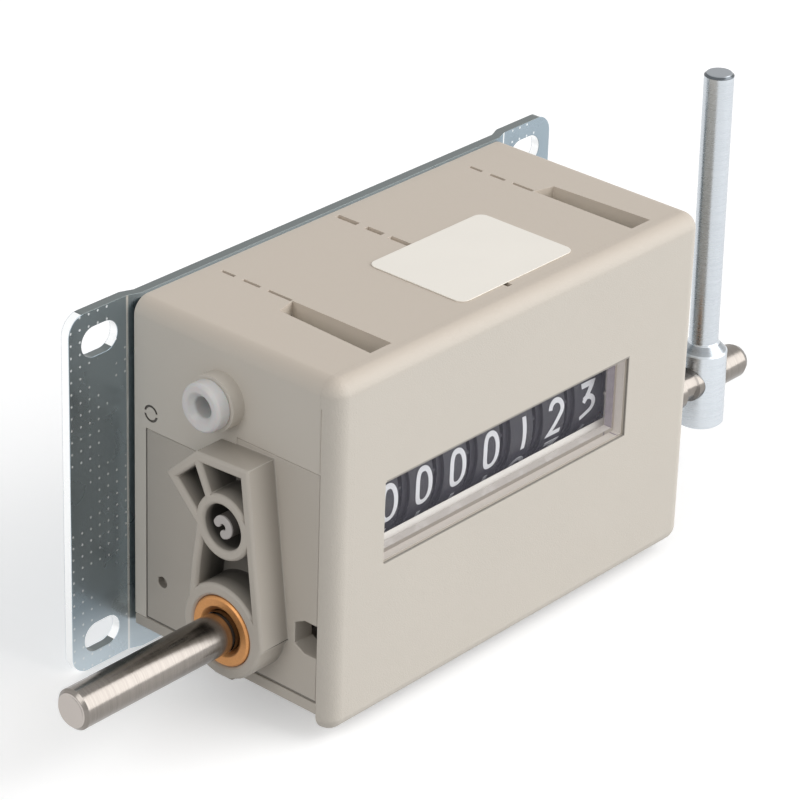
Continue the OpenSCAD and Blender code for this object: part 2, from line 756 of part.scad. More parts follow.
// Open rings that keep the shaft between the side plates
module shaft_clips() {
    color(mech_grey) for (x = [clip_x, -clip_x - clip_t]) along_x(x, clip_t)
        translate([axis_y, shaft_z]) difference() {
            circle(r = shaft_d / 2 + 1.5);
            circle(r = shaft_d / 2 + fit_gap);
            translate([0, -shaft_d / 2 - 1]) square([shaft_d * 0.8, 4], center = true);
        }
}

// Lever: rod and hub turned as one piece, with a cross hole on the shaft
module lever() {
    rod = lever_d / 2;
    h = hub_d / 2;
    color(zinc) translate([lever_x, axis_y, shaft_z]) rotate([-lever_lean, 0, 0]) difference() {
        rotate_extrude() polygon([[0, -hub_down], [h - 0.3, -hub_down], [h, -hub_down + 0.3], [h, hub_up - 1.6],
            [h - 0.25, hub_up - 1.35], [rod + 0.25, hub_up - 0.25], [rod, hub_up], [rod, lever_reach - 0.4],
            [rod - 0.4, lever_reach], [0, lever_reach]]);
        rotate([lever_lean, 0, 0]) bar_x(-h - over, h + over, 0, 0, seat_d / 2 + fit_gap);
        translate([0, 0, -hub_down - over]) cylinder(h = hub_down + over, r = clamp_r);
    }
}

// Grub screw from below, with a hexagon socket
clamp_r = 1.25;
module lever_clamp_screw() {
    color(mech_grey) translate([lever_x, axis_y, shaft_z]) rotate([-lever_lean, 0, 0])
        translate([0, 0, -hub_down + 0.4]) difference() {
            cylinder(h = hub_down - 0.4 - seat_d / 2, r = clamp_r);
            translate([0, 0, -eps]) cylinder(h = 1.6, r = 0.7, $fn = 6);
        }
}

// Toothed sector on the shaft, with the lug that meets the stops
module drive_sector() {
    color(mech_grey) difference() {
        union() {
            along_x(rocker_x + 0.2, rocker_t - 0.2) translate([axis_y, shaft_z]) {
                intersection() {
                    rotate(90 + 180 / sector_teeth) sector_gear();
                    wedge(12, 90 - swing - sector_spare, 90 + sector_spare);
                }
                circle(r = sector_hub_r);
                rotate(lug_angle) translate([sector_hub_r - 0.6, -lug_half])
                    square([stop_arm + stop_r + 1 - sector_hub_r, 2 * lug_half]);
            }
            along_x(rocker_x + rocker_t - eps, spring_x + 1.4 - rocker_x - rocker_t)
                translate([axis_y, shaft_z]) rotate(lug_angle)
                translate([stop_arm - 0.6, -lug_half]) square([stop_r + 1, 2 * lug_half]);
        }
        sector_pin_bar();
        bar_x(rocker_x, spring_x, axis_y, shaft_z, shaft_d / 2 + fit_gap);
    }
}

module sector_gear() {
    difference() {
        polygon(gear_outline(sector_teeth, sector_m, sector_press, sector_add, sector_ded, sector_backlash));
        circle(r = shaft_d / 2);
    }
}

// Pin through the sector's hub and the shaft
sector_pin_r = 0.75;
module sector_pin_bar() {
    translate([rocker_x + 0.2 + (rocker_t - 0.2) / 2, axis_y, shaft_z]) rotate([170, 0, 0])
        cylinder(h = 2 * (sector_hub_r + 0.4), r = sector_pin_r, center = true);
}

module sector_pin() {
    color(steel) sector_pin_bar();
}

// Rocker on the drum axle: toothed sector below, arm for the pawl above
module pawl_rocker() {
    p = polar(pawl_arm, pawl_rest);
    n = [-p[1], p[0]] / pawl_arm;
    color(mech_grey) difference() {
        along_x(rocker_x, rocker_t) translate([axis_y, drum_z]) {
            intersection() {
                rotate(270) sector_gear();
                wedge(12, 270 - sector_spare, 270 + swing + sector_spare);
            }
            circle(r = 3.6);
            polygon([n * 2.4, -n * 2.4, p - n * 1.3, p + n * 1.3]);
            translate(p) circle(r = pawl_eye_r);
        }
        bar_x(rocker_x - over, rocker_x + rocker_t + over, axis_y, drum_z, axle_d / 2 + run_gap);
        bar_x(rocker_x - over, rocker_x + rocker_t + over, axis_y + p[0], drum_z + p[1], pawl_pin_r);
    }
}

module pawl_pin() {
    p = polar(pawl_arm, pawl_rest);
    color(steel) bar_x(ratchet_x + ratchet_hub, rocker_x + rocker_t, axis_y + p[0], drum_z + p[1], pawl_pin_r);
}

// Pawl: eye on the rocker's pin and a nose over the ratchet's teeth
module drive_pawl() {
    p = polar(pawl_arm, pawl_rest);
    t = polar(ratchet_r + pawl_lift, pawl_tip);
    d = (t - p) / norm(t - p);
    n = [-d[1], d[0]];
    color(mech_grey) difference() {
        along_x(ratchet_x + ratchet_hub + 0.1, pawl_t) translate([axis_y, drum_z]) {
            translate(p) circle(r = pawl_eye_r);
            polygon([p - n * pawl_eye_r, t, t + n * 1.1, p + n * pawl_eye_r]);
        }
        bar_x(ratchet_x, rocker_x, axis_y + p[0], drum_z + p[1], pawl_pin_r + run_gap);
    }
}

// Ratchet wheel: each tooth rises along its back and drops at its face
function ratchet_outline() = [for (t = [0:ratchet_teeth - 1]) let (a = 360 * t / ratchet_teeth)
    each [polar(ratchet_r - ratchet_depth, a), polar(ratchet_r - ratchet_depth * 0.45, a + 18),
        polar(ratchet_r, a + 33), polar(ratchet_r - ratchet_depth, a + 34.5)]];
module ratchet_wheel() {
    color(mech_grey) difference() {
        union() {
            bar_x(ratchet_x, ratchet_x + ratchet_hub + eps, axis_y, drum_z, ratchet_hub_r);
            along_x(ratchet_x + ratchet_hub, ratchet_t) translate([axis_y, drum_z]) polygon(ratchet_outline());
        }
        bar_x(ratchet_x - over, rocker_x, axis_y, drum_z, axle_d / 2 + run_gap);
    }
}

// Digit drum: printed band, web and hub in one moulding. The toothed ring is on its
// right, the carry ring with its two teeth on its left. At rest the drums stand in
// their digit's place, so digit turns the carry teeth.
module drum(i, digit, ring, carry) {
    x = train_left + i * drum_pitch;
    w = drum_w;
    h = axle_d / 2 + run_gap;
    tube = ring_tip_r - (carry_add + carry_ded) * carry_m;
    b1 = carry ? lock_w : 0;
    b2 = ring ? w - ring_w : w + end_collar;
    color(drum_black) {
        turned_x(x, axis_y, drum_z) {
            translate([h, 0]) square([2, ring ? w : w + end_collar]);
            translate([h + 1, w / 2 - 0.6]) square([band_r - 1 - h - 1, 1.2]);
            translate([band_r - 1.4, b1]) square([1.4, b2 - b1]);
            translate([tube - 1.2, 0]) square([1.3, w]);
        }
        if (ring) along_x(x + b2 - 0.4, ring_w + 0.4) translate([axis_y, drum_z]) difference() {
            rotate(pinion_angle + 180 / ring_teeth)
                polygon(gear_outline(ring_teeth, carry_m, carry_angle, carry_add, carry_ded, carry_backlash));
            circle(r = tube - 0.6);
        }
        if (carry) along_x(x, lock_w + 0.4) translate([axis_y, drum_z]) carry_ring(tube, digit);
    }
}

// Plain ring with two teeth left between three gaps
module carry_ring(tube, digit) {
    seg = pinion_angle + (9.5 - digit) * 36;
    difference() {
        circle(r = ring_tip_r);
        circle(r = tube - 0.6);
        for (k = [-1, 0, 1]) rotate(seg + k * 360 / ring_teeth) polygon([
            polar(tube + 0.1, -4), polar(band_r, -5.6), polar(band_r, 5.6), polar(tube + 0.1, 4)]);
    }
}

// Transfer pinion i stands behind the gap between drum i and its right neighbour
module transfer_pinion(i) {
    x = train_left + i * drum_pitch;
    g = x + drum_w - ring_w;
    color(mech_grey) difference() {
        union() {
            bar_x(x + drum_w / 2, x + drum_w / 2 + drum_w, pinion_y, pinion_z, pin_axle_d / 2 + 1);
            along_x(g + 0.15, ring_w - 0.15) translate([pinion_y, pinion_z])
                rotate(pinion_angle + 180) polygon(gear_outline(
                    pinion_teeth, carry_m, carry_angle, carry_add, carry_ded, carry_backlash));
        }
        bar_x(x, x + 2 * drum_w, pinion_y, pinion_z, pin_axle_d / 2 + run_gap);
    }
}

// Drums count from the right, so the units drum is the last in the row
module units_drum() drum(drum_n - 1, 3, false, true);
module tens_drum() drum(drum_n - 2, 2, true, true);
module hundreds_drum() drum(drum_n - 3, 1, true, true);
module thousands_drum() drum(drum_n - 4, 0, true, true);
module ten_thousands_drum() drum(drum_n - 5, 0, true, true);
module hundred_thousands_drum() drum(drum_n - 6, 0, true, true);
module millions_drum() drum(drum_n - 7, 0, true, false);

mounting_plate();
plate_screws();
base_frame();
housing_hood();
left_side_plate();
right_side_plate();
window_lens();
drum_mask();
label_sticker();
side_bush();
shaft_bush_left();
shaft_bush_right();
drum_axle();
axle_end_clip();
pinion_axle();
detent_spring();
detent_screw();
return_spring();
drive_shaft();
shaft_clips();
lever();
lever_clamp_screw();
drive_sector();
sector_pin();
pawl_rocker();
pawl_pin();
drive_pawl();
ratchet_wheel();
units_drum();
tens_drum();
hundreds_drum();
thousands_drum();
ten_thousands_drum();
hundred_thousands_drum();
millions_drum();
transfer_pinion(drum_n - 2);  // transfer_pinion_1
transfer_pinion(drum_n - 3);  // transfer_pinion_2
transfer_pinion(drum_n - 4);  // transfer_pinion_3
transfer_pinion(drum_n - 5);  // transfer_pinion_4
transfer_pinion(drum_n - 6);  // transfer_pinion_5
transfer_pinion(drum_n - 7);  // transfer_pinion_6
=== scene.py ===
import math
import bmesh
import bpy
import numpy as np
from mathutils import Matrix, Vector


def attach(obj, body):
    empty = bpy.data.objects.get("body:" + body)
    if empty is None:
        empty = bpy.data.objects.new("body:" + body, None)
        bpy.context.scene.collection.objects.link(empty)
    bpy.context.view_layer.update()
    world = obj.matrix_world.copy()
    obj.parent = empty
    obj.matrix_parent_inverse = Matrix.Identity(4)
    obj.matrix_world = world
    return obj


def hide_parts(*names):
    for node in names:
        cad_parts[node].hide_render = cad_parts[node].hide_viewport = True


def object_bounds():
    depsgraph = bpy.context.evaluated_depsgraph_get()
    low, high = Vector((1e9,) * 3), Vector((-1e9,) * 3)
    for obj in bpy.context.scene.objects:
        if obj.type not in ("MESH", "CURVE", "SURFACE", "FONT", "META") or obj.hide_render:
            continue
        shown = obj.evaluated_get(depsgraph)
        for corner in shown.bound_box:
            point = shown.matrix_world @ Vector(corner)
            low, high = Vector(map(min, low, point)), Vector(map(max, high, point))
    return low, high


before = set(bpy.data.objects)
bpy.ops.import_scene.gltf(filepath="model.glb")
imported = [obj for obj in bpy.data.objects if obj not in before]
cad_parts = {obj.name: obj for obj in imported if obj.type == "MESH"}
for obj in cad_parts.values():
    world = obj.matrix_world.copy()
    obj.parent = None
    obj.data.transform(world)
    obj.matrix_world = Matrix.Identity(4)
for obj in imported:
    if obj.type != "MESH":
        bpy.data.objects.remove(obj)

cad_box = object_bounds()
mm = 0.001


# Camera. The photograph was taken from the front, the left and above, with a long lens,
# and the whole counter fills the square picture.
def placed(name, data):
    """A new object, linked into the scene."""
    thing = bpy.data.objects.new(name, data)
    bpy.context.scene.collection.objects.link(thing)
    return thing


azimuth, elevation, roll = (math.radians(angle) for angle in (-49.20, 27.50, 1.89))
focal_px, picture_px, sensor_mm = 3676, 800, 36
eye_place = (-0.3541, -0.3225, 0.2465)
back = np.array([math.sin(azimuth) * math.cos(elevation), -math.cos(azimuth) * math.cos(elevation),
                 math.sin(elevation)])
level = np.cross([0, 0, 1], back)
level /= np.linalg.norm(level)
upright = np.cross(back, level)
side = math.cos(roll) * level + math.sin(roll) * upright
above = -math.sin(roll) * level + math.cos(roll) * upright
lens = bpy.data.cameras.new("view")
lens.sensor_width = sensor_mm
lens.lens = focal_px / picture_px * sensor_mm
lens.clip_start, lens.clip_end = 0.01, 20
eye = placed("view", lens)
eye.matrix_world = Matrix([[side[i], above[i], back[i], eye_place[i]] for i in range(3)] + [[0, 0, 0, 1]])
bpy.context.scene.camera = eye


# Body mouldings: hood, base and both side panels are injection moulded in a warm light
# grey plastic. The hood's front is finely grained, the other faces are smooth. Painted
# shade darkens the bracket's pockets and eye, the panel's hole, the hood's ring mark, the
# bracket's outer walls towards the panel and the left side towards the plate, and the
# seams are painted dark. The hood's top is painted warmer as light from above, and a
# line of painted shade runs round the window.
class Wire:
    """A value inside a material. Sums, products and comparisons of wires become Math nodes."""

    def __init__(self, finish, socket):
        self.finish, self.socket = finish, socket

    def maths(self, operation, *values, **settings):
        return self.finish.node("Math", values, operation=operation, **settings)

    def __add__(self, other): return self.maths("ADD", self, other)
    def __sub__(self, other): return self.maths("SUBTRACT", self, other)
    def __mul__(self, other): return self.maths("MULTIPLY", self, other)
    def __truediv__(self, other): return self.maths("DIVIDE", self, other)
    def __radd__(self, other): return self.maths("ADD", other, self)
    def __rmul__(self, other): return self.maths("MULTIPLY", other, self)
    def __gt__(self, other): return self.maths("GREATER_THAN", self, other)
    def __lt__(self, other): return self.maths("LESS_THAN", self, other)
    def __or__(self, other): return self.maths("MAXIMUM", self, other)
    def fraction(self): return self.maths("FRACT", self)
    def size(self): return self.maths("ABSOLUTE", self)
    def squared(self): return self.maths("POWER", self, 2)
    def positive(self): return self.maths("MAXIMUM", self, 0)
    def near(self, middle, reach): return (self - middle).size() < reach

    def rising(self, start, end):
        """0 up to the start, 1 from the end on, and an even slope between them."""
        return self.maths("DIVIDE", self - start, end - start, use_clamp=True)


class Finish:
    """A material with one Principled shader, named after a finish of this counter."""

    def __init__(self, name, colour, roughness, metallic=0.0, **plain):
        self.material = bpy.data.materials.new(name)
        self.material.use_nodes = True
        self.tree = self.material.node_tree
        self.shader = self.tree.nodes["Principled BSDF"]
        self.put("Base Color", (*colour, 1.0))
        self.put("Roughness", roughness)
        self.put("Metallic", metallic)
        for socket, value in plain.items():
            self.put(socket.replace("_", " ").title().replace("Ior", "IOR"), value)

    def put(self, socket, value):
        """Sets a number or colour on the shader's own socket, or links a wire to it."""
        self.plug(self.shader.inputs[socket], value)

    def plug(self, socket, value):
        if isinstance(value, Wire):
            self.tree.links.new(value.socket, socket)
        else:
            socket.default_value = value

    def node(self, kind, values=(), output=0, named=(), **settings):
        """Adds one node: its settings first, then values or links in the order of its sockets."""
        made = self.tree.nodes.new("ShaderNode" + kind)
        for key, setting in settings.items():
            setattr(made, key, setting)
        for socket, value in zip(made.inputs, values):
            self.plug(socket, value)
        for key, value in dict(named).items():
            self.plug(made.inputs[key], value)
        return Wire(self, made.outputs[output])

    def place(self):
        return self.node("TexCoord", output="Object")

    def noise(self, scale, detail, stretch=(1, 1, 1)):
        """Noise over the object's own coordinates, squeezed along its axes by stretch."""
        at = self.node("Mapping", named={"Vector": self.place(), "Scale": stretch})
        return self.node("TexNoise", named={"Vector": at, "Scale": scale, "Detail": detail})

    def blend(self, amount, first, second):
        """A colour between two colours, the first one where amount is 0."""
        made = self.tree.nodes.new("ShaderNodeMix")
        made.data_type = "RGBA"
        for socket, value in ((made.inputs[0], amount), (made.inputs[6], first), (made.inputs[7], second)):
            single = isinstance(value, Wire) or not hasattr(value, "__len__")
            self.plug(socket, value if single else (*value, 1.0))
        return Wire(self, made.outputs[2])

    def axes(self):
        """The object's own coordinates in millimetres."""
        split = self.tree.nodes.new("ShaderNodeSeparateXYZ")
        self.tree.links.new(self.place().socket, split.inputs[0])
        return [Wire(self, output) / mm for output in split.outputs]

    def bump(self, height, distance):
        """A relief of the given depth in metres, feeding the shader's normal."""
        self.put("Normal", self.node("Bump", named={"Height": height, "Distance": distance, "Strength": 1.0}))

    def cover(self, *pieces):
        """Gives pieces, or CAD nodes by their names, this material and no other."""
        for piece in pieces:
            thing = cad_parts[piece] if isinstance(piece, str) else piece
            thing.data.materials.clear()
            thing.data.materials.append(self.material)
            for face in thing.data.polygons:
                face.material_index = 0


def moulded(node, edge, smooth=40, steps=2, soft=None):
    """A copy of a CAD node with its corners merged, its flat faces joined and its edges rounded by edge.
    Where soft is given, edges with both ends to the left of it are rounded three times as much."""
    merge_distance, flat_angle, soft_factor, hard_weight = 2e-6, math.radians(0.6), 3, 0.33
    sharp = math.radians(smooth)
    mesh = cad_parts[node].data.copy()
    form = bmesh.new()
    form.from_mesh(mesh)
    bmesh.ops.remove_doubles(form, verts=form.verts, dist=merge_distance)
    bmesh.ops.dissolve_limit(form, angle_limit=flat_angle, verts=form.verts, edges=form.edges)
    if soft:
        weight = form.edges.layers.float.new("bevel_weight_edge")
        for border in form.edges:
            if border.calc_face_angle(0) > sharp:
                border[weight] = 1.0 if max(v.co.x for v in border.verts) < soft else hard_weight
    form.to_mesh(mesh)
    form.free()
    piece = placed(node + "_form", mesh)
    mesh.shade_smooth()
    mesh.set_sharp_from_angle(angle=sharp)
    if edge:
        rounding = piece.modifiers.new("edges", "BEVEL")
        rounding.width, rounding.segments = edge * (soft_factor if soft else 1), steps
        rounding.limit_method = "WEIGHT" if soft else "ANGLE"
        rounding.angle_limit, rounding.use_clamp_overlap = sharp, not soft
    even = piece.modifiers.new("flat faces stay even", "WEIGHTED_NORMAL")
    even.keep_sharp, even.weight = True, 100
    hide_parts(node)
    return piece


def tinted(colour, factor):
    return [channel * factor for channel in colour]


def disc(y, z, centre, radius):
    """1 inside a circle in the side view, else 0. The centre is given as (y, z)."""
    return (y - centre[0]).squared() + (z - centre[1]).squared() < radius ** 2


beige, sunlit_beige, grey = (0.62, 0.575, 0.51), (0.626, 0.549, 0.467), (0.545, 0.50, 0.44)
body_left, window_x, window_z = -39, -2.8, 3.35
drum_axis, ring_mark, panel_hole = (-24.1, 2.6), (-5.5, 11.1), (-7.7, -14.8)
eye_r, ring_r, hole_r = 3.435, 1.483, 0.894

hood = moulded("housing_hood", 0.12 * mm)
plastic = Finish("body_beige", beige, 0.52, specular_ior_level=0.42)
x, y, z = plastic.axes()
front_y, grained_y, coarse_x, gap_left = -39.45, -36.8, -35, -28.7
front_grain = (y < grained_y) * (1 + 0.9 * (x < coarse_x)) * plastic.noise(5200, 3)
# Painted light: the hood's top is painted a warmer beige, as light from above falls on it.
painted_top_light = z.rising(24.85, 27.88)
round_window = x.near(window_x, 26.24) * z.near(window_z + 0.08, 6.44)
# Painted shade: a thin dark line on the front round the window, for the shaded gap at the lens.
painted_gap_shade = (y < front_y) * (x > gap_left) * round_window
# Painted shade: the floor of the sunk ring mark on the hood's side is painted nearly black.
mark = disc(y, z, ring_mark, ring_r) * (x > body_left + 0.03) * (x < body_left + 1)
plain = plastic.blend(plastic.noise(60, 2), tinted(beige, 0.975), tinted(beige, 1.02))
clean = plastic.blend(painted_top_light, plain, sunlit_beige)
plastic.put("Base Color", plastic.blend(0.6 * painted_gap_shade + 0.9 * mark, clean, tinted(beige, 0.2)))
plastic.put("Roughness", 0.46 + 0.12 * plastic.noise(900, 2))
plastic.bump(front_grain + 0.25 * plastic.noise(2600, 2), 0.03 * mm)
plastic.cover(hood)
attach(hood, "housing"), hood

darker = Finish("body_grey", grey, 0.5, specular_ior_level=0.42)
x, y, z = darker.axes()
bracket_x, left_panel_x, foot_seam_z, back_seam_y = -44.2, -36, -21.6, -4.8
outside = x < body_left + 0.1
depth = ((x - bracket_x) / (body_left - bracket_x) * outside).positive()
deep = x.rising(bracket_x + 0.2, bracket_x + 2.7)
# The bracket's outline in the side view: a leaning stem, and a head that spreads to the plate.
stem, head = y + 0.15 * z < -19.0, y - z < -20.6
inside_walls = (y - 0.1165 * z > -30.2) * (y + 1.096 * z < -5.5) * (z > -14) * (z < 11.6)
pockets = (head | stem) * inside_walls
bracket_eye = disc(y, z, drum_axis, eye_r)
hole_floor = (x > body_left + 0.1) * disc(y, z, panel_hole, hole_r)
foot_seam = outside * (x > body_left - 0.2) * z.near(foot_seam_z, 0.18)
back_seam = outside * (y > back_seam_y) * (z > foot_seam_z - 0.2)
towards_plate = (0.06 * (y + 18)).positive()
# Painted shade: the bracket's eye and pockets, the panel's hole, the outer walls towards the panel and the
# left side towards the plate are darkened; a dark line at the foot seam and a dark strip behind the back seam
# are painted on too.
painted_shade_and_seams = 0.85 * deep * bracket_eye + 0.75 * deep * pockets + 0.5 * hole_floor + 0.7 * (foot_seam + back_seam)
painted_shade_and_seams = (x < left_panel_x) * painted_shade_and_seams + 0.36 * depth * depth * (x < body_left - 0.02)
painted_shade_and_seams = painted_shade_and_seams + 0.26 * outside * towards_plate
plain = darker.blend(darker.noise(80, 2), tinted(grey, 0.97), tinted(grey, 1.03))
darker.put("Base Color", darker.blend(painted_shade_and_seams, plain, tinted(grey, 0.12)))
darker.put("Roughness", 0.44 + 0.14 * darker.noise(1200, 2))
darker.bump(darker.noise(2400, 2), 0.012 * mm)
for node in ("left_side_plate", "right_side_plate", "base_frame"):
    part = moulded(node, 0.14 * mm, soft=(body_left - 0.3) * mm if node == "left_side_plate" else None)
    darker.cover(part)
    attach(part, "housing"), part

# Mounting plate: 1.5 mm sheet steel, bright zinc with a bluish pass. Fine rows of light
# specks stand in the coating. A painted highlight brightens the sheet at its folds and a
# painted reflection of the floor brightens it towards its lower edge. Its top edge carries a
# nearly white painted highlight, its slot walls are nearly white too, and its other cut
# edges are painted dark.
def off_line(value, first, step):
    """How far a value lies from the nearest of evenly spaced lines, as a share of their step."""
    return ((value - first) / step + 0.5).fraction() - 0.5


pale_zinc, floor_reflection_zinc = (0.97, 0.98, 0.97), (0.78, 0.87, 0.93)
pale_cut, dark_cut = (0.96, 0.97, 0.97), (0.15, 0.17, 0.17)
sheet, skin, flange_x, plate_top = 1.5, 0.08, 39.5, 27.94
speck_r, upper_slots_z, lower_slots_z = 0.1025, 21.05, -25.35
plate = moulded("mounting_plate", 0.12 * mm)
zinc = Finish("zinc_sheet", (0.50, 0.56, 0.60), 0.3, 1.0)
x, y, z = zinc.axes()
out = x.size()
column, row = off_line(out, 50.12, 1.69), off_line(z, 20.26, 1.84)
specks = (column.squared() + row.squared() < speck_r ** 2) * (zinc.noise(110, 1) > 0.44) * (out > flange_x)
tint = zinc.blend(zinc.noise(55, 3), (0.28, 0.35, 0.40), (0.38, 0.45, 0.50))
# Painted reflection: the lowest part of the sheet is painted paler, as the white floor reflects in it.
tint = zinc.blend(0.7 * z.rising(-17.6, -25.6), tint, floor_reflection_zinc)
# Painted highlight: a pale line along each bend of the flanges.
fold_highlight = out.near(flange_x + 0.05, 0.17) * (y < -1.2)
face = zinc.blend(0.6 * specks + 0.9 * fold_highlight, tint, pale_zinc)
top_edge = z > plate_top
slot_walls = (out < 49) * (z.near(upper_slots_z, 0.2) | z.near(lower_slots_z, 0.2))
cut = (y > skin - sheet) * (y < -skin) * (out > flange_x + 0.5) | top_edge
# A nearly white painted highlight on the top edge, pale slot walls, other cut edges painted dark.
edges = zinc.blend(top_edge | slot_walls, pale_cut, dark_cut)
zinc.put("Base Color", zinc.blend(cut, face, edges))
zinc.put("Roughness", 0.22 + 0.14 * zinc.noise(160, 3) + 0.3 * specks)
zinc.bump(zinc.noise(1500, 2), 0.01 * mm)
zinc.cover(plate)
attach(plate, "housing"), plate

# Screws, clips and springs inside and behind the body: zinc-plated or bright steel. The
# levers and the sector of the movement are stamped from plain steel.
plated = Finish("zinc_screw", (0.70, 0.71, 0.70), 0.32, 1.0)
plated.put("Roughness", 0.26 + 0.16 * plated.noise(900, 2))
plated.cover("plate_screws", "detent_screw", "lever_clamp_screw")
bright = Finish("spring_steel", (0.62, 0.62, 0.61), 0.28, 1.0)
bright.put("Roughness", 0.22 + 0.14 * bright.noise(700, 2))
bright.cover("detent_spring", "return_spring", "shaft_clips")
stamped = Finish("mech_steel", (0.50, 0.50, 0.49), 0.42, 1.0)
stamped.put("Roughness", 0.34 + 0.18 * stamped.noise(800, 3))
stamped.cover("drive_sector", "pawl_rocker", "drive_pawl")

# Bushes: the two shaft bushes are sintered bronze with fine open pores, turned at the
# mouth. The bush above the bracket is white nylon.
bronze = Finish("bush_bronze", (0.62, 0.34, 0.14), 0.38, 0.85)
pores = bronze.noise(4200, 3)
bronze.put("Base Color", bronze.blend(pores, (0.46, 0.205, 0.07), (0.68, 0.345, 0.135)))
bronze.put("Roughness", 0.3 + 0.25 * pores)
bronze.bump(pores, 0.02 * mm)
for node in ("shaft_bush_left", "shaft_bush_right"):
    bush = moulded(node, 0.1 * mm)
    bronze.cover(bush)
    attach(bush, "housing"), bush
nylon = Finish("nylon_white", (0.68, 0.67, 0.66), 0.36, subsurface_weight=0.25, subsurface_scale=1.2 * mm)
nylon.put("Roughness", 0.3 + 0.12 * nylon.noise(500, 2))
bush = moulded("side_bush", 0.18 * mm, steps=3)
nylon.cover(bush)
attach(bush, "housing"), bush

# Drive shaft and pins: ground and polished steel with a warm nickel tone. Grinding
# leaves fine rings round the shaft, its end is paler, and a ring of painted shade lies
# where it enters the bush.
steel = Finish("shaft_steel", (0.50, 0.46, 0.42), 0.2, 1.0)
rings = steel.noise(1.0, 3, stretch=(5200, 60, 60))
x = steel.axes()[0]
bush_mouth_x, end_face_x = -44.7, -72.3
# Painted shade: a dark ring on the shaft at the bush's mouth.
bush_mouth_shade = 0.5 * x.near(bush_mouth_x, 0.32)
polished = steel.blend(rings, (0.19, 0.172, 0.155), (0.29, 0.267, 0.245))
polished = steel.blend(x < end_face_x, polished, (0.48, 0.44, 0.41))
steel.put("Base Color", steel.blend(bush_mouth_shade, polished, (0.05, 0.035, 0.025)))
steel.put("Roughness", 0.14 + 0.14 * rings)
steel.bump(rings, 0.004 * mm)
shaft = moulded("drive_shaft", 0)
steel.cover(shaft, "drum_axle", "pinion_axle", "sector_pin", "pawl_pin")
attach(shaft, "drive"), shaft

# Lever: turned in one piece from round bar and bright zinc plated, with faint turning
# rings along its length. Painted dark reflections darken its top disc, the bevel there and
# the cone at its foot, and the rod a little.
top_z, bevel_z, rod_z, cone_z = 36.85, 37.2, -7, -7.95
turned = Finish("lever_zinc", (0.74, 0.77, 0.79), 0.24, 1.0)
rings = turned.noise(1.0, 3, stretch=(90, 90, 4200))
z = turned.axes()[2]
top, cone = z > top_z, z.near(cone_z, 0.55)
# Painted dark reflections: the top disc, its bevel and the cone strongly, the rod slightly.
painted_dark_reflection = 0.1 * (z > rod_z) + 0.5 * top + 0.35 * top * (z < bevel_z) + 0.5 * cone
plating = turned.blend(rings, (0.56, 0.60, 0.64), (0.68, 0.72, 0.76))
turned.put("Base Color", turned.blend(painted_dark_reflection, plating, (0.08, 0.09, 0.10)))
turned.put("Roughness", 0.2 + 0.16 * rings)
turned.bump(rings, 0.0015 * mm)
lever = moulded("lever", 0.1 * mm, smooth=35)
turned.cover(lever)
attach(lever, "drive"), lever

# Counting train: black drums with a satin printed band, and white acetal pinions and
# ratchet. The bands carry ten digits each, printed in white.
black = Finish("drum_black", (0.02, 0.02, 0.024), 0.4, specular_ior_level=0.3)
black.put("Base Color", black.blend(black.noise(300, 2), (0.017, 0.017, 0.022), (0.034, 0.034, 0.042)))
black.put("Roughness", 0.34 + 0.14 * black.noise(1400, 2))
acetal = Finish("pinion_plastic", (0.72, 0.71, 0.66), 0.42)
acetal.put("Roughness", 0.36 + 0.14 * acetal.noise(900, 2))
acetal.cover("ratchet_wheel", *("transfer_pinion_%d" % i for i in range(1, 7)))
drums = ("units", "tens", "hundreds", "thousands", "ten_thousands", "hundred_thousands", "millions")
for name in drums:
    drum = moulded(name + "_drum", 0.08 * mm, smooth=28)
    black.cover(drum)
    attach(drum, name), drum


def bow(cx, cy, rx, ry, start, end, steps=22, square=2.0):
    """Part of an ellipse from one angle to another, squarer than an ellipse where square is over 2."""
    t = np.radians(np.linspace(start, end, steps))
    c, s = np.cos(t), np.sin(t)
    return np.stack([cx + rx * np.sign(c) * np.abs(c) ** (2 / square),
                     cy + ry * np.sign(s) * np.abs(s) ** (2 / square)], 1)


# Each digit's strokes, as paths in mm. w and h are half its width and half its height.
w, h = 1.32, 2.62
strokes = {
    0: [bow(0, 0, w, h, 0, 360, 49, 2.5)],
    1: [np.array([[0.1, h], [0.1, -h]])],
    2: [np.concatenate([bow(0, h - 1.36, w, 1.36, 172, -28), [[-w, -h], [w, -h]]])],
    3: [np.array([[-w, h], [w * 0.95, h], [-1.0, 0.0]]),
        np.concatenate([bow(-0.12, -0.62, 1.42, 1.32, 128, -62), [[-w, -h]]])],
    4: [np.array([[0.5, h], [-w, -1.0], [w, -1.0]]), np.array([[0.6, 0.5], [0.6, -h]])],
    5: [np.concatenate([[[w * 0.85, h], [-0.95, h], [-1.1, 0.2]],
                        bow(-0.12, -0.9, 1.38, 1.62, 125, -145)])],
    6: [np.concatenate([[[0.75, h]], bow(0, -1.15, w, 1.45, 162, 180, 3),
                        bow(0, -1.15, w, 1.45, 180, 540, 40)])],
    7: [np.array([[-w, h], [w, h], [-0.45, -h]])],
    8: [bow(0, 1.35, 1.12, 1.25, -90, 270, 40), bow(0, -1.2, w, 1.42, 90, 450, 40)],
    9: [np.concatenate([[[-0.75, -h]], bow(0, 1.15, w, 1.45, -18, 0, 3),
                        bow(0, 1.15, w, 1.45, 0, 360, 40)])],
}
stroke_w, stroke_step, sharpest_mitre = 0.8, 0.35, 0.55
drum_radius, print_under, print_over = 11.4, -0.05, 0.025
units_middle, drum_pitch, reading_drop = 19.82, 7.15, 0.17


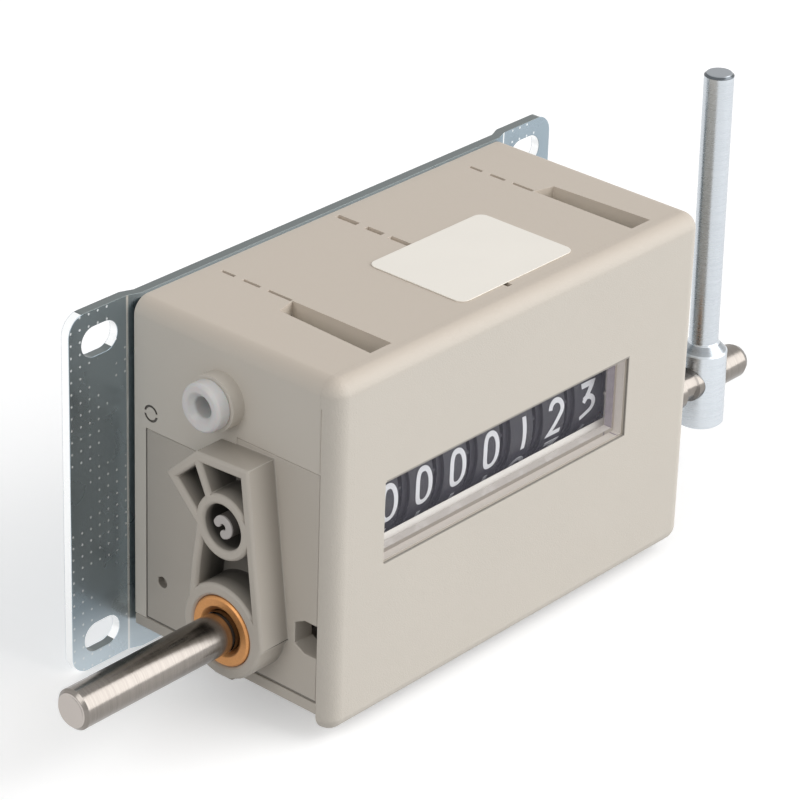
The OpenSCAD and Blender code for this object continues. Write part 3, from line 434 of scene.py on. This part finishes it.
def ribbon(path, middle, turn):
    """Carries a flat bar along a path and wraps it round the drum. Every point of the path, apart from
    doubled ones, gets four corners: half the width to each side along its mitred normal, one pair
    just over the band and one pair just under it."""
    steps = [np.linspace(a, b, max(2, int(np.linalg.norm(b - a) / stroke_step) + 1))[:-1]
             for a, b in zip(path[:-1], path[1:])]
    p = np.concatenate(steps + [path[-1:]])
    p = p[np.append(np.linalg.norm(np.diff(p, axis=0), axis=1) > 1e-4, True)]
    ahead = np.diff(p, axis=0)
    ahead /= np.linalg.norm(ahead, axis=1)[:, None]
    before, after = np.vstack([ahead[:1], ahead]), np.vstack([ahead, ahead[-1:]])
    mean = before + after
    if np.allclose(p[0], p[-1], atol=1e-6):
        mean[0] = mean[-1] = ahead[0] + ahead[-1]
    mean /= np.linalg.norm(mean, axis=1)[:, None]
    reach = 1 / np.maximum(np.abs((mean * before).sum(1)), sharpest_mitre)
    normal = np.stack([-mean[:, 1], mean[:, 0]], 1) * (reach * stroke_w / 2)[:, None]
    corners = np.stack([p - normal, p - normal, p + normal, p + normal], 1)
    radius = drum_radius + np.array([print_under, print_over, print_over, print_under])
    angle = corners[..., 1] / drum_radius + turn
    points = np.stack([middle + corners[..., 0], drum_axis[0] - radius * np.cos(angle),
                       drum_axis[1] + radius * np.sin(angle)], 2)
    n = len(p)
    i, k = np.meshgrid(np.arange(n - 1), np.arange(4), indexing="ij")
    here, there, turned_k = i * 4, (i + 1) * 4, (k + 1) % 4
    faces = np.stack([here + k, there + k, there + turned_k, here + turned_k], 2).reshape(-1, 4)
    ends = np.array([[0, 1, 2, 3], [4 * n - 1, 4 * n - 2, 4 * n - 3, 4 * n - 4]])
    return points.reshape(-1, 3) * mm, np.vstack([faces, ends])


printed = Finish("digit_white", (0.80, 0.81, 0.84), 0.45)
printed.put("Roughness", 0.4 + 0.12 * printed.noise(1500, 2))
for rank, (name, shown) in enumerate(zip(drums, (3, 2, 1, 0, 0, 0, 0))):
    middle = units_middle - drum_pitch * rank
    points, faces, count = [], [], 0
    for digit, paths in strokes.items():
        turn = -math.radians(36) * (digit - shown) - reading_drop / drum_radius
        for path in paths:
            v, f = ribbon(np.asarray(path, float), middle, turn)
            points.append(v), faces.append(f + count)
            count += len(v)
    mesh = bpy.data.meshes.new(name + "_digits")
    mesh.from_pydata(np.vstack(points).tolist(), [], np.vstack(faces).tolist())
    form = bmesh.new()
    form.from_mesh(mesh)
    bmesh.ops.recalc_face_normals(form, faces=form.faces)
    form.to_mesh(mesh)
    form.free()
    digits = placed(name + "_digits", mesh)
    printed.cover(digits)
    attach(digits, name), digits

# Window: a clear moulded tray whose face lies just behind the front, over a light mask
# frame. Its border is nearly opaque and pale, with a painted glow standing in for light
# through the plastic, and its right wall is darker with painted shade. The hook-shaped end
# of the drum axle is the same light plastic as the mask, painted greyer at its front end,
# and its barrel behind is painted dark as painted shade.
clear = Finish("lens_clear", (0.90, 0.91, 0.90), 0.08)
x, y, z = clear.axes()
half_width, half_height, back_y, right_wall_x = 25.86, 6.01, -38.2, 22.35
border = ((x - window_x).size() > half_width) | ((z - window_z).size() > half_height) | (y > back_y)
right_wall = x.near(right_wall_x, 0.15)
# Painted shade darkens the right wall; the border's emission is a painted glow, not a lamp.
border_tone = clear.blend(right_wall, (0.42, 0.395, 0.365), (0.24, 0.21, 0.225))
painted_border_glow = clear.blend(right_wall, (0.25, 0.23, 0.21), (0.12, 0.105, 0.115))
clear.put("Base Color", clear.blend(border, (0.74, 0.72, 0.86), border_tone))
clear.put("Emission Color", clear.blend(border, (0, 0, 0), painted_border_glow))
clear.put("Emission Strength", 1.0)
clear.put("Alpha", 0.035 + 0.93 * border)
window = moulded("window_lens", 0.08 * mm)
clear.cover(window)
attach(window, "housing"), window

light = Finish("mask_light", (0.74, 0.71, 0.66), 0.5)
light.put("Roughness", 0.42 + 0.14 * light.noise(900, 2))
x = light.axes()[0]
hook_face_x, clip_x = -43.7, -38
# Painted shade: the clip's barrel behind its front end is painted dark; its front end is painted greyer.
hook = light.blend(x < hook_face_x, (0.14, 0.125, 0.115), (0.52, 0.49, 0.47))
light.put("Base Color", light.blend(x < clip_x, (0.74, 0.71, 0.66), hook))
for node in ("drum_mask", "axle_end_clip"):
    part = moulded(node, 0.1 * mm)
    light.cover(part)
    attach(part, "housing"), part

# Sticker: a cream film with a soft sheen, stuck on the hood's top near the front and
# bare of print.
film = Finish("label_cream", (0.93, 0.88, 0.80), 0.32, coat_weight=0.3, coat_roughness=0.25)
film.put("Base Color", film.blend(film.noise(120, 2), (0.91, 0.865, 0.785), (0.95, 0.90, 0.815)))
sticker = moulded("label_sticker", 0.04 * mm)
film.cover(sticker)
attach(sticker, "housing"), sticker


# Studio: a pale floor in a white surround, a large soft lamp in front on the right and a
# weak one on the left. The eye sees both floor and surround brighter than they light.
def looked_at(tree):
    """1 for rays from the eye, by a mirror and through glass too, else 0."""
    rays = tree.nodes.new("ShaderNodeLightPath")
    result = rays.outputs["Is Camera Ray"]
    for kind in ("Is Glossy Ray", "Is Transmission Ray"):
        either = tree.nodes.new("ShaderNodeMath")
        either.operation = "MAXIMUM"
        tree.links.new(result, either.inputs[0])
        tree.links.new(rays.outputs[kind], either.inputs[1])
        result = either.outputs[0]
    return result


base, reach = cad_box[0][2], 6
floor_mesh = bpy.data.meshes.new("floor")
corners = [(-reach, -reach, base), (reach, -reach, base), (reach, reach, base), (-reach, reach, base)]
floor_mesh.from_pydata(corners, [], [(0, 1, 2, 3)])
floor = placed("floor", floor_mesh)
ground = Finish("floor_white", (0.45, 0.45, 0.45), 0.8)
seen_floor = ground.tree.nodes.new("ShaderNodeBsdfPrincipled")
for socket, value in (("Base Color", (0.9, 0.9, 0.9, 1)), ("Roughness", 0.8),
                      ("Emission Color", (1, 1, 1, 1)), ("Emission Strength", 0.34)):
    seen_floor.inputs[socket].default_value = value
choice = ground.tree.nodes.new("ShaderNodeMixShader")
ground.tree.links.new(looked_at(ground.tree), choice.inputs[0])
ground.tree.links.new(ground.shader.outputs[0], choice.inputs[1])
ground.tree.links.new(seen_floor.outputs[0], choice.inputs[2])
ground.tree.links.new(choice.outputs[0], ground.tree.nodes["Material Output"].inputs[0])
ground.cover(floor)

for name, spot, size, watts in (("key", (1.0, -1.4, 0.9), 2.0, 36), ("left", (-1.6, -0.1, 0.9), 1.0, 7.5)):
    lamp = bpy.data.lights.new(name, "AREA")
    lamp.energy, lamp.size = watts, size
    thing = placed(name, lamp)
    thing.location = spot
    thing.rotation_euler = (-Vector(spot)).to_track_quat("-Z", "Y").to_euler()

world = bpy.data.worlds.new("surround")
bpy.context.scene.world = world
world.use_nodes = True
sky = world.node_tree
backdrop = sky.nodes["Background"]
backdrop.inputs["Color"].default_value = (1, 1, 1, 1)
strength = sky.nodes.new("ShaderNodeMapRange")
sky.links.new(looked_at(sky), strength.inputs["Value"])
strength.inputs["To Min"].default_value, strength.inputs["To Max"].default_value = 0.40, 1.0
sky.links.new(strength.outputs["Result"], backdrop.inputs["Strength"])
bpy.context.scene.view_settings.view_transform = "Standard"
